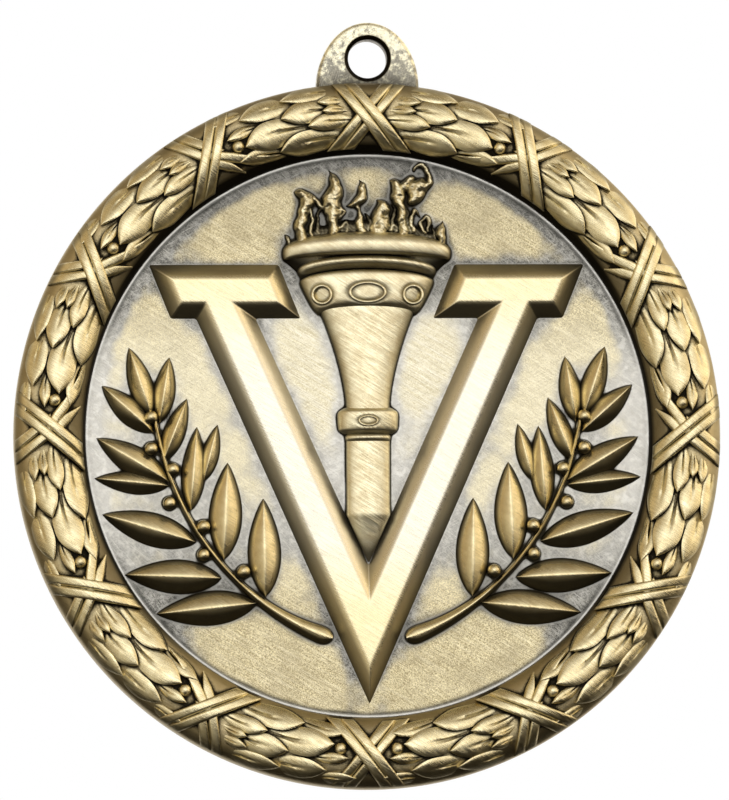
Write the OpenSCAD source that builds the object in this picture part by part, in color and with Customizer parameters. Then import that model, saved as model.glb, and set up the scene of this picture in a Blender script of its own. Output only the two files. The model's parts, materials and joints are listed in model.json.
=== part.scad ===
// Cast relief medal: a round disc with a wreath rim, a suspension lug, a bevelled letter V,
// a torch with flames and two leafy branches.
// The medal stands upright: front towards -Y, right-hand side towards +X, lug up (+Z).
// The origin is the centre of the disc on its flat back face.

/* [Disc] */
// Outside diameter of the disc
disc_d = 65; // [60:0.5:70]
// Width of the wreath rim
rim_w = 6.6; // [6.4:0.1:7]
// Thickness of the disc at the field
field_t = 2.4; // [2:0.1:3]
// Rise of the wreath's crest above the field
crest_rise = 2.7; // [2.3:0.1:3]

/* [Suspension lug] */
// Thickness of the lug
lug_t = 2.4; // [2.2:0.1:2.6]
// Half-width of the lug
lug_half_w = 4.72; // [4.4:0.1:5.2]
// Height of the lug's rounded top above its widest line
lug_rise = 6.05; // [5.8:0.1:6.6]
// Radius of the suspension hole
hole_r = 1.8; // [1.6:0.05:1.9]
// Width and depth of the chamfer at the hole's front mouth
hole_chamfer = 0.3; // [0.2:0.05:0.3]

/* [Centre design] */
// Turn of the whole centre design on the disc, anticlockwise in degrees
design_turn = 0.4; // [0:0.05:1]
// Height of the letter above the field
letter_h = 1.25; // [1:0.05:1.5]
// Width of the letter's bevel
letter_bevel = 1.25; // [1:0.05:1.3]
// Height of the torch at its fullest
torch_h = 1.5; // [1:0.1:1.8]
// Height of the flames
flame_h = 0.8; // [0.5:0.1:1]
// Height of the branches' leaves at the midrib
leaf_h = 1.1; // [0.8:0.1:1.4]

/* [Wreath] */
// Number of ribbon ties around the rim
tie_count = 12; // [12:1:12]
// Width of one ribbon band
band_w = 1.65; // [1.4:0.05:1.8]
// Slant of a ribbon band away from the radius, in degrees
band_slant = 38; // [34:1:42]
// Radius of the berries on the branches
berry_r = 0.62; // [0.5:0.02:0.7]

/* [Hidden] */
$fn = 64;
disc_r = disc_d / 2;
field_r = disc_r - rim_w;
rim_mid = field_r + rim_w / 2;
edge_chamfer = 0.3;
wall_t = 2.6;                  // straight height of the rim's outer wall
seat_h = 3.5;                  // flat seat that carries the garlands and ties
seat_in = field_r + 0.4;
seat_out = disc_r - 0.6;
dome_half = rim_w / 2 + 0.1;
skin = 0.15;                   // smallest edge thickness of a raised piece
half_ties = tie_count / 2;     // garland segments on each side
tie_step = 360 / tie_count;
tie_drift = 0.85;              // how far the ties crowd towards the top, in degrees
tie_r = 29.4;
lug_z = disc_r - 0.4;          // height of the lug's widest line
hole_z = 34.8;                 // height of the suspension hole

letter_top = 15.74;            // upper edge of the serifs
serif_z = 10.77;               // lower edge of the serifs
serif_slant = 0.4;             // sideways run of a serif's end per unit of height
serif_in = 6.1;                // serif's inner end at its lower edge
serif_out = 18.04;             // serif's outer end at its lower edge
stroke_out = 15.71;            // stroke's outer edge at the serifs
stroke_in = 10.25;             // stroke's inner edge at the serifs
letter_tip = -24.7;
letter_notch = -11.95;

// ---- small helpers ------------------------------------------------------------------------

// Point at radius r, with the angle a counted clockwise from the top
function polar(r, a) = [r * sin(a), r * cos(a)];
function mix(a, b, t) = a * (1 - t) + b * t;
function clamp(v, low, high) = min(max(v, low), high);
// Angle of tie number i, clockwise from the top
function tie_angle(i) = tie_step * i - tie_drift * sin(tie_step * i);
// Height of the wreath's dome above the back face at radius r
function dome(r) = field_t + crest_rise * sqrt(max(1 - pow((r - rim_mid) / dome_half, 2), 0.04));
// Cubic curve through the end points p[0] and p[3], pulled by p[1] and p[2]
function bezier(p, t) = pow(1 - t, 3) * p[0] + 3 * t * pow(1 - t, 2) * p[1]
    + 3 * t * t * (1 - t) * p[2] + pow(t, 3) * p[3];
function along(p, t) = let(d = bezier(p, min(t + 0.01, 1)) - bezier(p, max(t - 0.01, 0))) d / norm(d);
// Half-width of a pointed leaf at u, from 0 at its base to 1 at its tip
function leaf_shape(u) = max(pow(sin(180 * pow(u, 0.85)), 0.8), 0.04);

// Lays the drawing plane on the medal's front: X right, Y up, Z out of the face
module facing() rotate([90, 0, 0]) children();
module on_field() facing() rotate(design_turn) translate([0, 0, field_t]) children();

// A closed solid under a grid of points [x, y, height], standing on the plane at height base.
// Rows run along the piece and columns across it, from its right-hand side to its left.
module relief(rows, base = 0) {
    n = len(rows);
    m = len(rows[0]);
    top = [for (row = rows) for (p = row) p];
    floor = [for (p = top) [p[0], p[1], base]];
    rim = concat([for (j = [0:m - 1]) j], [for (i = [1:n - 1]) i * m + m - 1],
        [for (j = [m - 2:-1:0]) (n - 1) * m + j], [for (i = [n - 2:-1:1]) i * m]);
    k = n * m;
    cells = [for (i = [0:n - 2]) for (j = [0:m - 2]) i * m + j];
    upper = [for (a = cells) each [[a, a + 1, a + m + 1], [a, a + m + 1, a + m]]];
    lower = [for (a = cells) each [[a + k, a + m + k, a + m + 1 + k], [a + k, a + m + 1 + k, a + 1 + k]]];
    sides = [for (e = [0:len(rim) - 1]) let(a = rim[e], b = rim[(e + 1) % len(rim)])
        each [[b, a, a + k], [b, a + k, b + k]]];
    polyhedron(concat(top, floor), concat(upper, lower, sides), convexity = 6);
}

// A ridged pointed leaf from one point to another
module leaf(from, to, half_w, rise) {
    d = to - from;
    stations = 6;
    rows = [for (i = [0:stations]) let(u = i / stations, w = half_w * leaf_shape(u))
        [[u * norm(d), -w, skin], [u * norm(d), 0, skin + rise * pow(leaf_shape(u), 0.6)],
         [u * norm(d), w, skin]]];
    translate(from) rotate(atan2(d[1], d[0])) relief(rows);
}

// A tapering raised stroke along a cubic curve, half_w wide at its start and end_w at its end.
// A taper below 1 makes it slim soon after its start.
module stroke(curve, half_w, end_w, rise, stations = 5, taper = 1) {
    rows = [for (i = [0:stations]) let(u = i / stations, p = bezier(curve, u), d = along(curve, u),
        w = mix(half_w, end_w, pow(u, taper)), side = [-d[1], d[0]] * w)
        [[p[0] - side[0], p[1] - side[1], skin], [p[0], p[1], skin + rise],
         [p[0] + side[0], p[1] + side[1], skin]]];
    relief(rows);
}

// A rounded band across the torch. Each level is [y at the ends, half-width, bow, height].
module torch_band(levels, columns = 8) {
    rows = [for (l = levels) [for (j = [0:columns]) let(t = 90 - 180 * j / columns)
        [l[1] * sin(t), l[0] + l[2] * cos(t), skin + l[3] * pow(max(cos(t), 0), 0.7)]]];
    relief(rows);
}

// ---- disc ---------------------------------------------------------------------------------

module medal_plate() color("tan") facing() cylinder(r = field_r, h = field_t, $fn = 128);

module rim_ring() color("darkgoldenrod") facing() rotate_extrude($fn = 128)
    polygon([[field_r, 0], [disc_r - edge_chamfer, 0], [disc_r, edge_chamfer], [disc_r, wall_t],
        [seat_out, seat_h], [seat_in, seat_h], [field_r, field_t]]);

// The lug is a half-ellipse on a short straight root that stops at the disc's edge
module suspension_lug() color("goldenrod") difference() {
    facing() difference() {
        translate([0, lug_z]) linear_extrude(lug_t) polygon(concat(
            [for (a = [0:7.5:180]) [lug_half_w * cos(a), lug_rise * sin(a)]],
            [[-lug_half_w, -1], [lug_half_w, -1]]));
        translate([0, 0, -1]) cylinder(r = disc_r, h = lug_t + 2, $fn = 128);
    }
    facing() translate([0, hole_z, -1]) cylinder(r = hole_r, h = lug_t + 2, $fn = 48);
    facing() translate([0, hole_z, lug_t - hole_chamfer]) rotate_extrude($fn = 48)
        polygon([[0, 0], [hole_r, 0], [hole_r + hole_chamfer, hole_chamfer],
            [hole_r + hole_chamfer, 1], [0, 1]]);
}

// ---- wreath rim ---------------------------------------------------------------------------

// Leaves of one garland segment: [start, end] along the segment from tie to tie,
// [radius at the base, radius at the tip], half-width
GARLAND_LEAVES = [
    [[0.13, 0.30], [30.75, 30.85], 0.45], [[0.13, 0.28], [29.9, 29.95], 0.42],
    [[0.12, 0.38], [28.9, 28.75], 0.70], [[0.24, 0.53], [29.95, 30.0], 1.02],
    [[0.22, 0.59], [27.5, 27.2], 1.05], [[0.22, 0.51], [31.5, 31.2], 0.62],
    [[0.48, 0.765], [31.0, 31.0], 0.82], [[0.45, 0.79], [28.6, 28.6], 1.30],
    [[0.71, 0.88], [29.9, 29.8], 0.45], [[0.61, 0.86], [26.9, 27.6], 0.60]];
BERRY_AT = [0.83, 28.95];
garland_ridge = 0.25;          // ridge above the dome
garland_edge = 0.4;            // edge below the dome
garland_berry_r = 0.5;

module garland_leaf(a0, a1, g) {
    stations = 5;
    span = a1 - a0;
    rows = [for (i = [0:stations]) let(u = i / stations, w = g[2] * leaf_shape(u),
        a = a0 + span * mix(g[0][0], g[0][1], u), r = mix(g[1][0], g[1][1], u))
        [for (k = [-1:1]) let(rk = clamp(r + k * w, seat_in + 0.02, seat_out - 0.02), p = polar(rk, a))
            [p[0], p[1], max(dome(rk) + (k == 0 ? garland_ridge : -garland_edge), seat_h + skin)]]];
    relief(rows, seat_h);
}

// Band that slants towards the side given by lean, cut to the seat; offset moves it sideways
function band_dir(lean) = [lean * sin(band_slant), -cos(band_slant)];
function band_start(lean, offset) = [0, tie_r] + offset * [cos(band_slant), lean * sin(band_slant)];
function band_reach(p, d, r) = -(p * d) - sqrt(pow(p * d, 2) - p * p + r * r);
function band_point(lean, offset, t) = let(p = band_start(lean, offset), d = band_dir(lean))
    p + d * mix(band_reach(p, d, seat_out - 0.02), band_reach(p, d, seat_in + 0.02), t);

// A band of two strips with a groove between them, lying on the dome and raised by lift
groove_w = 0.2;
groove_depth = 0.25;
module band(lean, lift) {
    stations = 6;
    rows = [for (i = [0:stations]) [for (o = [-band_w / 2, -groove_w, 0, groove_w, band_w / 2])
        let(p = band_point(lean, o, i / stations), top = dome(norm(p)) + lift - (o == 0 ? groove_depth : 0))
        [p[0], p[1], max(top, seat_h + skin)]]];
    relief(rows, seat_h);
}

// Outline of a band on the seat, widened by gap on both sides
module band_outline(lean, gap) polygon([for (c = [[-1, 0], [1, 0], [1, 1], [-1, 1]])
    band_point(lean, c[0] * (band_w / 2 + gap), c[1])]);

// The two crossed bands of a tie: the over-band leans as the sign of lean says, and the
// under-band is cut away where it passes below
module tie(lean) {
    band(lean, 0.25);
    difference() {
        band(-lean, 0.05);
        linear_extrude(2 * seat_h) band_outline(lean, 0);
    }
}

module at_tie(i) rotate(-tie_angle(i)) children();

module tie_footprint() for (lean = [-1, 1]) linear_extrude(2 * seat_h) band_outline(lean, 0.02);

// Segment number i on the right-hand half, between its ties
module garland_segment(i) difference() {
    for (g = GARLAND_LEAVES) garland_leaf(tie_angle(i), tie_angle(i + 1), g);
    for (k = [i, i + 1]) at_tie(k) tie_footprint();
}

// Garlands 1 to 6 run clockwise from the top, and 7 to 12 are their mirror images
module garland(n) color("burlywood") facing()
    mirror([n > half_ties ? 1 : 0, 0, 0]) garland_segment((n - 1) % half_ties);

// Ties 1 to 7 run clockwise from the top to the bottom, and 8 to 12 are mirror images of 2 to 6
module ribbon_tie(n) color("gold") facing()
    mirror([n > half_ties + 1 ? 1 : 0, 0, 0]) at_tie(n > half_ties + 1 ? n - half_ties - 1 : n - 1) tie(1);

module garland_berries() color("khaki") facing() for (side = [0, 1], i = [0:half_ties - 1])
    mirror([side, 0, 0]) let(a = mix(tie_angle(i), tie_angle(i + 1), BERRY_AT[0]))
        translate(concat(polar(BERRY_AT[1], a), [seat_h + 0.9])) berry(garland_berry_r);

// A ball with a flat foot, for a berry that sits on a surface 0.9 below its centre or less
module berry(r) intersection() {
    sphere(r = r, $fn = 16);
    translate([-r, -r, -r + 0.08]) cube([2 * r, 2 * r, 2 * r]);
}

// ---- letter -------------------------------------------------------------------------------

LETTER_HALF = [[0, letter_tip], [stroke_out, serif_z], [serif_out, serif_z],
    [serif_out + serif_slant * (letter_top - serif_z), letter_top],
    [serif_in + serif_slant * (letter_top - serif_z), letter_top],
    [serif_in, serif_z], [stroke_in, serif_z], [0, letter_notch]];
LETTER = concat(LETTER_HALF, [for (i = [6:-1:1]) [-LETTER_HALF[i][0], LETTER_HALF[i][1]]]);

// Corner i of an outline, moved inwards along its mitre by d
function unit(v) = v / norm(v);
function inset(o, i, d) = let(n = len(o), e0 = unit(o[i] - o[(i + n - 1) % n]), e1 = unit(o[(i + 1) % n] - o[i]),
    n0 = [-e0[1], e0[0]], n1 = [-e1[1], e1[0]]) o[i] + (n0 + n1) * d / (1 + n0 * n1);

// Triangles that fill the letter's flat top and its foot, counting the corners of LETTER
RIGHT_CAPS = [[0, 1, 6], [0, 6, 7], [1, 3, 6], [1, 2, 3], [6, 3, 4], [6, 4, 5]];
LETTER_CAPS = concat(RIGHT_CAPS, [for (c = RIGHT_CAPS) [for (i = reversed(c)) i == 0 ? 0 : 14 - i]]);
function reversed(list) = [for (i = [len(list) - 1:-1:0]) list[i]];

module letter_v() color("lightgoldenrodyellow") on_field() {
    n = len(LETTER);
    face = [for (i = [0:n - 1]) concat(inset(LETTER, i, letter_bevel), [letter_h])];
    foot = [for (p = LETTER) concat(p, [0])];
    polyhedron(concat(face, foot), concat(
        [for (cap = LETTER_CAPS) reversed(cap)], [for (cap = LETTER_CAPS) [for (i = cap) i + n]],
        [for (i = [0:n - 1]) let(j = (i + 1) % n) each [[i, j, j + n], [i, j + n, i + n]]]), convexity = 6);
}

// ---- torch --------------------------------------------------------------------------------

// Flame tongues: four points of the curve, half-width at the root, half-width at the tip
FLAMES = [
    [[[-6.9, 17.7], [-6.9, 18.3], [-7.1, 18.6], [-7.5, 18.6]], 0.15, 0.06],
    [[[-6.0, 18.1], [-6.7, 19.6], [-6.6, 20.6], [-5.4, 21.3]], 0.40, 0.20],
    [[[-4.6, 18.6], [-4.3, 21.2], [-5.0, 22.6], [-6.6, 22.4]], 0.70, 0.12],
    [[[-4.3, 18.8], [-4.4, 22.4], [-1.0, 21.8], [-3.5, 24.5]], 0.65, 0.06],
    [[[-2.5, 22.2], [-2.2, 21.6], [-2.2, 20.8], [-2.7, 20.4]], 0.30, 0.18],
    [[[-3.6, 18.9], [-2.9, 19.7], [-2.2, 19.7], [-1.2, 19.3]], 0.25, 0.20],
    [[[-1.8, 20.9], [-0.6, 21.5], [0.3, 22.6], [-0.7, 23.5]], 0.20, 0.06],
    [[[-0.4, 18.8], [-0.8, 19.6], [-0.8, 20.4], [-0.5, 21.4]], 0.60, 0.15],
    [[[0.9, 18.8], [1.7, 19.8], [1.9, 20.6], [1.3, 21.5]], 0.80, 0.25],
    [[[3.3, 18.8], [2.6, 20.6], [3.9, 22.2], [2.4, 23.5]], 0.50, 0.06],
    [[[3.7, 21.8], [4.5, 22.2], [4.9, 23.4], [5.3, 24.1]], 0.35, 0.50],
    [[[4.4, 24.3], [4.7, 25.4], [6.6, 25.0], [5.5, 23.0]], 0.22, 0.18],
    [[[4.4, 18.7], [4.2, 19.5], [4.2, 20.1], [4.5, 20.7]], 0.40, 0.12],
    [[[5.4, 18.6], [5.6, 19.2], [5.5, 19.7], [5.2, 20.1]], 0.35, 0.12],
    [[[6.9, 17.9], [6.6, 18.6], [6.8, 19.1], [7.1, 19.6]], 0.45, 0.06]];

module torch_flames() color("khaki") on_field() difference() {
    for (f = FLAMES) stroke(f[0], f[1], f[2], flame_h);
    lip_solid();
}

// A bead across the torch: ends at height y, half-width w, bow, half-thickness and rise
function bead_levels(y, w, bow, thick, rise) = [for (s = [-1:0.5:1])
    [y + thick * s, w * sqrt(1 - 0.06 * s * s), bow, rise * sqrt(1.05 - s * s)]];

module lip_solid() torch_band(bead_levels(16.65, 7.85, 1.1, 0.8, torch_h));
module torch_lip() color("wheat") on_field() lip_solid();
module torch_moulding() color("wheat") on_field()
    torch_band(bead_levels(15.1, 6.35, 0.85, 0.45, torch_h - 0.2));

CUP_BOTTOM = 11.0;
CUP_TOP = 13.9;
module cup_solid() torch_band([for (s = [0:0.25:1])
    [mix(CUP_BOTTOM, CUP_TOP, s), mix(4.75, 6.2, pow(s, 0.9)), mix(0.8, 1.1, s),
        torch_h - 0.6 * pow(2 * s - 1, 4)]]);
module torch_cup() color("wheat") on_field() cup_solid();

// An oval ring with half-axes a and b; its lower part is cut off by whatever it stands on
module oval_ring(x, y, a, b, top) translate([x, y, 0.2]) linear_extrude(top - 0.2) difference() {
    polygon([for (t = [0:15:345]) [a * cos(t), b * sin(t)]]);
    polygon([for (t = [0:15:345]) [(a - 0.2) * cos(t), (b - 0.2) * sin(t)]]);
}
module torch_cup_rings() color("gold") on_field() difference() {
    union() {
        oval_ring(0, 13.05, 1.7, 0.93, torch_h + skin + 0.15);
        for (side = [-1, 1]) oval_ring(side * 4.2, 12.85, 0.95, 0.9, torch_h);
    }
    cup_solid();
}

SHAFT_BOTTOM = 2.6;
SHAFT_TOP = 10.9;
module torch_shaft() color("wheat") on_field() torch_band([for (s = [0:0.2:1])
    [mix(SHAFT_BOTTOM, SHAFT_TOP, s), 2.02 + 2.15 * pow(s, 1.5), mix(0, 0.9, s), torch_h - 0.4]], 6);

module collar_solid() torch_band([[0.1, 2.2, 0, torch_h - 0.5], [0.5, 2.75, 0, torch_h - 0.1],
    [2.0, 2.8, 0, torch_h - 0.1], [2.5, 2.1, 0, torch_h - 0.5]], 6);
module torch_collar() color("wheat") on_field() collar_solid();
module torch_collar_ring() color("gold") on_field() difference() {
    oval_ring(0, 1.25, 0.9, 0.48, torch_h + 0.15);
    collar_solid();
}
module torch_bead() color("wheat") on_field()
    torch_band(bead_levels(-0.25, 2.05, 0, 0.25, torch_h - 0.5), 6);

// The handle narrows at its foot to fill the notch of the letter
HANDLE_W = 2.03;
HANDLE_TOP = -0.6;
function notch_w(y) = (y - letter_notch) * stroke_in / (serif_z - letter_notch) - 0.05;
module torch_handle() color("wheat") on_field() torch_band([for (y = [letter_notch + 0.3, -10, -7.6, -4, HANDLE_TOP])
    [y, min(HANDLE_W, notch_w(y)), 0, (torch_h - 0.5) * min(HANDLE_W, notch_w(y)) / HANDLE_W]], 6);

// ---- branches -----------------------------------------------------------------------------

STEM = [[3.4, -18.65], [11, -16.3], [17.8, -9.0], [19.5, 1.3]];
// Leaves of the right-hand branch: root, tip, half-width
BRANCH_LEAVES = [
    [[10.3, -15.4], [19.5, -16.35], 1.60], [[13.5, -13.1], [22.35, -12.75], 1.60],
    [[15.8, -9.8], [24.4, -7.2], 1.55], [[18.3, -4.6], [25.1, -3.9], 1.10],
    [[18.3, -4.2], [24.9, -0.2], 1.40], [[19.7, 0.3], [24.4, 4.6], 1.20],
    [[19.9, 1.8], [21.9, 8.1], 1.15], [[19.1, 1.2], [18.2, 7.2], 1.05],
    [[18.8, -2.4], [16.6, 3.4], 1.05], [[16.3, -6.9], [15.7, 0.8], 1.15],
    [[15.1, -4.2], [13.8, 1.0], 0.85], [[13.3, -11.4], [12.9, -2.5], 1.55],
    [[9.5, -14.8], [9.65, -5.8], 1.55]];
BRANCH_BERRIES = [[19.9, 1.7], [19.9, -1.2], [17.95, -3.1], [18.25, -6.2], [15.15, -8.35],
    [15.15, -10.95], [11.5, -12.5]];

module stem_solid() stroke(STEM, 0.8, 0.2, 0.75, 16, 0.45);
module leaves_solid() for (l = BRANCH_LEAVES) leaf(l[0], l[1], l[2], leaf_h);

// Draws a right-hand piece in place, or its mirror image on the left
module half(side) on_field() mirror([side == "left" ? 1 : 0, 0, 0]) children();

module stem(side) color("darkkhaki") half(side) stem_solid();
module leaves(side) color("peru") half(side) difference() {
    leaves_solid();
    stem_solid();
}
module berries(side) color("gold") half(side) difference() {
    for (b = BRANCH_BERRIES) translate([b[0], b[1], berry_r - 0.08]) berry(berry_r);
    leaves_solid();
    stem_solid();
}

// ---- the sub-parts ------------------------------------------------------------------------

medal_plate();
rim_ring();
suspension_lug();
for (n = [1:12]) let(number = str(n < 10 ? "0" : "", n)) {
    garland(n);
    ribbon_tie(n);
}
garland_berries();
letter_v();
torch_flames();
torch_lip();
torch_moulding();
torch_cup();
torch_cup_rings();
torch_shaft();
torch_collar();
torch_collar_ring();
torch_bead();
torch_handle();
stem("left");  // stem_left
stem("right");  // stem_right
leaves("left");  // leaves_left
leaves("right");  // leaves_right
berries("left");  // berries_left
berries("right");  // berries_right
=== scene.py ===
import json
import math

import bpy
import numpy as np
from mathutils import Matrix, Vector
from mathutils.bvhtree import BVHTree


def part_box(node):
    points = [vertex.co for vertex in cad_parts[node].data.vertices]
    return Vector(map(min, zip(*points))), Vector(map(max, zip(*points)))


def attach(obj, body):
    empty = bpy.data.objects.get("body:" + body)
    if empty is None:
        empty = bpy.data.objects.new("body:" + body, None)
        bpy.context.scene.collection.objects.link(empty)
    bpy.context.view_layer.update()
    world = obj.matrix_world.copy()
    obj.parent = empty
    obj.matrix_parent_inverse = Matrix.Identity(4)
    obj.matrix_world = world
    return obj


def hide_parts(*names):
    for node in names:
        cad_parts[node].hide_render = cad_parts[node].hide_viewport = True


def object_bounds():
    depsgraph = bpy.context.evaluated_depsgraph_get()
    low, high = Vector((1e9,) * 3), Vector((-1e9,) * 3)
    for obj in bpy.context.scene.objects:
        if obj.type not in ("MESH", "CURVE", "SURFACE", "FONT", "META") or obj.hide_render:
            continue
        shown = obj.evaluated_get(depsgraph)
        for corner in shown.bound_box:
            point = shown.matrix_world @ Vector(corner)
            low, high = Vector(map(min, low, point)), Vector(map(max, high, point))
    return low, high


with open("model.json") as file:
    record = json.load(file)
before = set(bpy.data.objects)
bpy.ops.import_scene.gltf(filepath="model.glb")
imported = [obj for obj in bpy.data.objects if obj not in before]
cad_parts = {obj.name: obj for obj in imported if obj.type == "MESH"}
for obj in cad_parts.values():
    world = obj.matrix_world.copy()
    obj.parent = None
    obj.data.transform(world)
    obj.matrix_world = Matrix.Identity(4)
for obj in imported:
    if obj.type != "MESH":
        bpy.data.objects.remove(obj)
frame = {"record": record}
cad_low, cad_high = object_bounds()

# ---- sizes ----

MM = 0.001
plate_low, plate_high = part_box("medal_plate")
ring_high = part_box("rim_ring")[1]
lug_low, lug_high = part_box("suspension_lug")
FIELD_R = plate_high.x / MM          # radius of the flat field
FIELD_T = -plate_low.y / MM          # thickness at the field
DISC_R = ring_high.x / MM
LUG_T = -lug_low.y / MM
LUG_HALF_W = lug_high.x / MM
LUG_TOP = lug_high.z / MM
LUG_LINE = DISC_R - 0.4              # the lug's widest line
HOLE_Y, HOLE_R, HOLE_CHAMFER = 34.8, 1.8, 0.3
TOP = -cad_low.y / MM - 0.01         # highest point that relief may reach

RIM_MID = (FIELD_R + DISC_R) / 2
RIM_CREST, RIM_HALF = 2.6, 3.45      # the dome's rise above the field, and its half-width
SEAT = 2.6                           # hidden foot of everything on the rim
TURN = math.radians(0.4)             # turn of the centre design on the disc

# Ribbon ties: radius of a crossing, slant and half-width of a band
TIE_R = 29.4
BAND_SLANT, BAND_HALF = math.radians(38), 0.92

# Letter: heights of its tip, notch and serifs, and the half-widths where its strokes meet the serifs
LETTER_TIP, LETTER_NOTCH, SERIF_FOOT, SERIF_TOP = -24.7, -11.95, 10.77, 15.74
STROKE_IN, STROKE_OUT = 10.25, 15.71
LETTER_H, LETTER_BEVEL = 1.25, 1.25


def mix(a, b, t):
    return a + (b - a) * t


def smooth(low, high, x):
    t = np.clip((x - low) / (high - low), 0, 1)
    return t * t * (3 - 2 * t)


def dome(r):
    return FIELD_T + RIM_CREST * np.sqrt(np.maximum(1 - ((r - RIM_MID) / RIM_HALF) ** 2, 0.04))


def ground(r):
    """Height of the rim's body between the leaves."""
    return dome(r) - mix(0.5, 0.3, smooth(29.3, 31.3, r))


def opening(y):
    """Half-width of the letter's opening at the height y."""
    return (y - LETTER_NOTCH) * STROKE_IN / (SERIF_FOOT - LETTER_NOTCH)


def tie_angle(i):
    """Angle of a tie, counted clockwise from the top: the ties sit slightly closer towards the top."""
    return math.radians(30 * i - 0.85 * math.sin(math.radians(30 * i)))


def polar(r, a):
    """Points at radius r and angle a, counted clockwise from the top."""
    r, a = np.broadcast_arrays(np.asarray(r, float), a)
    return np.stack([r * np.sin(a), r * np.cos(a)], -1)


def ellipse(x, y, a, b, h, turns):
    """A level ring of points around x, y."""
    t = np.linspace(0, 2 * math.pi, turns, endpoint=False)
    return np.stack([x + a * np.cos(t), y + b * np.sin(t), np.full(turns, h)], 1)


def bezier(points, n):
    t = np.linspace(0, 1, n)[:, None]
    p = np.asarray(points, float)
    return (1 - t) ** 3 * p[0] + 3 * t * (1 - t) ** 2 * p[1] + 3 * t * t * (1 - t) * p[2] + t ** 3 * p[3]


def smooth_path(points, n):
    """n points on a smooth curve through the given ones."""
    p = np.asarray(points, float)
    p = np.concatenate([[2 * p[0] - p[1]], p, [2 * p[-1] - p[-2]]])
    t = np.linspace(0, len(p) - 3, n)
    k = np.minimum(t.astype(int), len(p) - 4)
    f = (t - k)[:, None]
    a, b, c, d = p[k], p[k + 1], p[k + 2], p[k + 3]
    return b + 0.5 * f * (c - a + f * (2 * a - 5 * b + 4 * c - d + f * (3 * (b - c) + d - a)))


# ---- pieces ----

class Piece:
    """Closed solids in drawing coordinates that become one object and stand for one CAD node."""

    made = []

    # The last argument gives a mask per point: patina and painted shade on most pieces, the share of the
    # letter's opening on the field.
    def __init__(self, node, turned=False, mirrored=False, piece_mask=None):
        self.node, self.turned, self.mirrored, self.piece_mask = node, turned, mirrored, piece_mask
        self.points, self.faces, self.count = [], [], 0
        Piece.made.append(self)

    def add(self, points, faces, mirrored=False):
        p = np.array(points, float).reshape(-1, 3)
        flip = mirrored != self.mirrored
        if flip:
            p[:, 0] *= -1
        if self.turned:
            c, s = math.cos(TURN), math.sin(TURN)
            p[:, :2] = p[:, :2] @ np.array([[c, s], [-s, c]])
        self.points.append(p)
        for f in faces:
            f = (np.asarray(f) + self.count).tolist()
            f = f if isinstance(f[0], list) else [f]
            self.faces += [q[::-1] for q in f] if flip else f
        self.count += len(p)

    def relief(self, top, base, mirrored=False):
        """A solid under a grid of points: rows along it and columns across, from its right to its left."""
        n, m = top.shape[:2]
        ids = np.arange(n * m).reshape(n, m)
        cells = np.stack([ids[:-1, :-1], ids[1:, :-1], ids[1:, 1:], ids[:-1, 1:]], -1).reshape(-1, 4)
        edge = np.concatenate([ids[:, 0], ids[-1, 1:], ids[-2::-1, -1], ids[0, -2:0:-1]])
        foot = top.reshape(-1, 3)[edge]
        foot[:, 2] = base
        below = n * m + np.arange(len(edge))
        sides = np.stack([np.roll(edge, -1), edge, below, np.roll(below, -1)], -1)
        self.add(np.concatenate([top.reshape(-1, 3), foot]), [cells, sides, below[::-1]], mirrored)

    def loops(self, rings, closed, caps=(), mirrored=False):
        """Skin over rings of points of equal count. closed joins the last ring to the first."""
        k, m = len(rings), len(rings[0])
        ids = np.arange(k * m).reshape(k, m)
        rows = [(i, (i + 1) % k) for i in range(k if closed else k - 1)]
        quads = np.concatenate([np.stack([ids[a], np.roll(ids[a], -1), np.roll(ids[b], -1), ids[b]], -1)
                                for a, b in rows])
        self.add(np.concatenate(rings), [quads] + [ids[i][::s] for i, s in caps], mirrored)

    def sweep(self, path, half_w, height, columns=11, base=None, mirrored=False):
        """A raised strip along a path. height(r, u, v) is its top at radius r, share u along and v across."""
        d = np.gradient(path, axis=0)
        d /= np.linalg.norm(d, axis=1)[:, None]
        side = np.stack([-d[:, 1], d[:, 0]], 1)
        v = np.linspace(-1, 1, columns)
        w = np.broadcast_to(half_w, len(path))
        xy = path[:, None] + side[:, None] * (w[:, None] * v)[:, :, None]
        u = np.linspace(0, 1, len(path))[:, None]
        h = np.broadcast_to(np.minimum(height(np.linalg.norm(xy, axis=2), u, v[None]), TOP), xy.shape[:2])
        base = FIELD_T - 0.1 if base is None else base
        h = np.maximum(h, base + 0.02)
        self.relief(np.concatenate([xy, h[..., None]], 2), base, mirrored)

    def bead(self, x, y, radius, top, base, mirrored=False):
        """A berry: a ball whose lower half is a straight wall."""
        levels = [(1.0, base)] + [(math.cos(t), top - radius + radius * math.sin(t))
                                  for t in np.linspace(0, math.pi / 2 - 0.12, 8)]
        rings = [ellipse(x, y, radius * s, radius * s, h, 20) for s, h in levels]
        self.loops(rings, False, [(0, -1), (-1, 1)], mirrored)

    def build(self):
        p = np.concatenate(self.points)
        world = np.stack([p[:, 0], -p[:, 2], p[:, 1]], 1) * MM
        mesh = bpy.data.meshes.new(self.node)
        mesh.from_pydata(world.tolist(), [], self.faces)
        mesh.shade_smooth()
        mesh.set_sharp_from_angle(angle=math.radians(42))
        self.world, self.mesh = world, mesh
        self.obj = bpy.data.objects.new(self.node + "_look", mesh)
        bpy.context.scene.collection.objects.link(self.obj)


# ---- disc, rim and lug ----

def in_letter(x, y):
    """Share from 0 to 1 by which a point of the field lies in the opening of the letter."""
    return smooth(0.0, 0.9, opening(y) - np.abs(x)) * (1 - smooth(10.0, 15.5, y))


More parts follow.
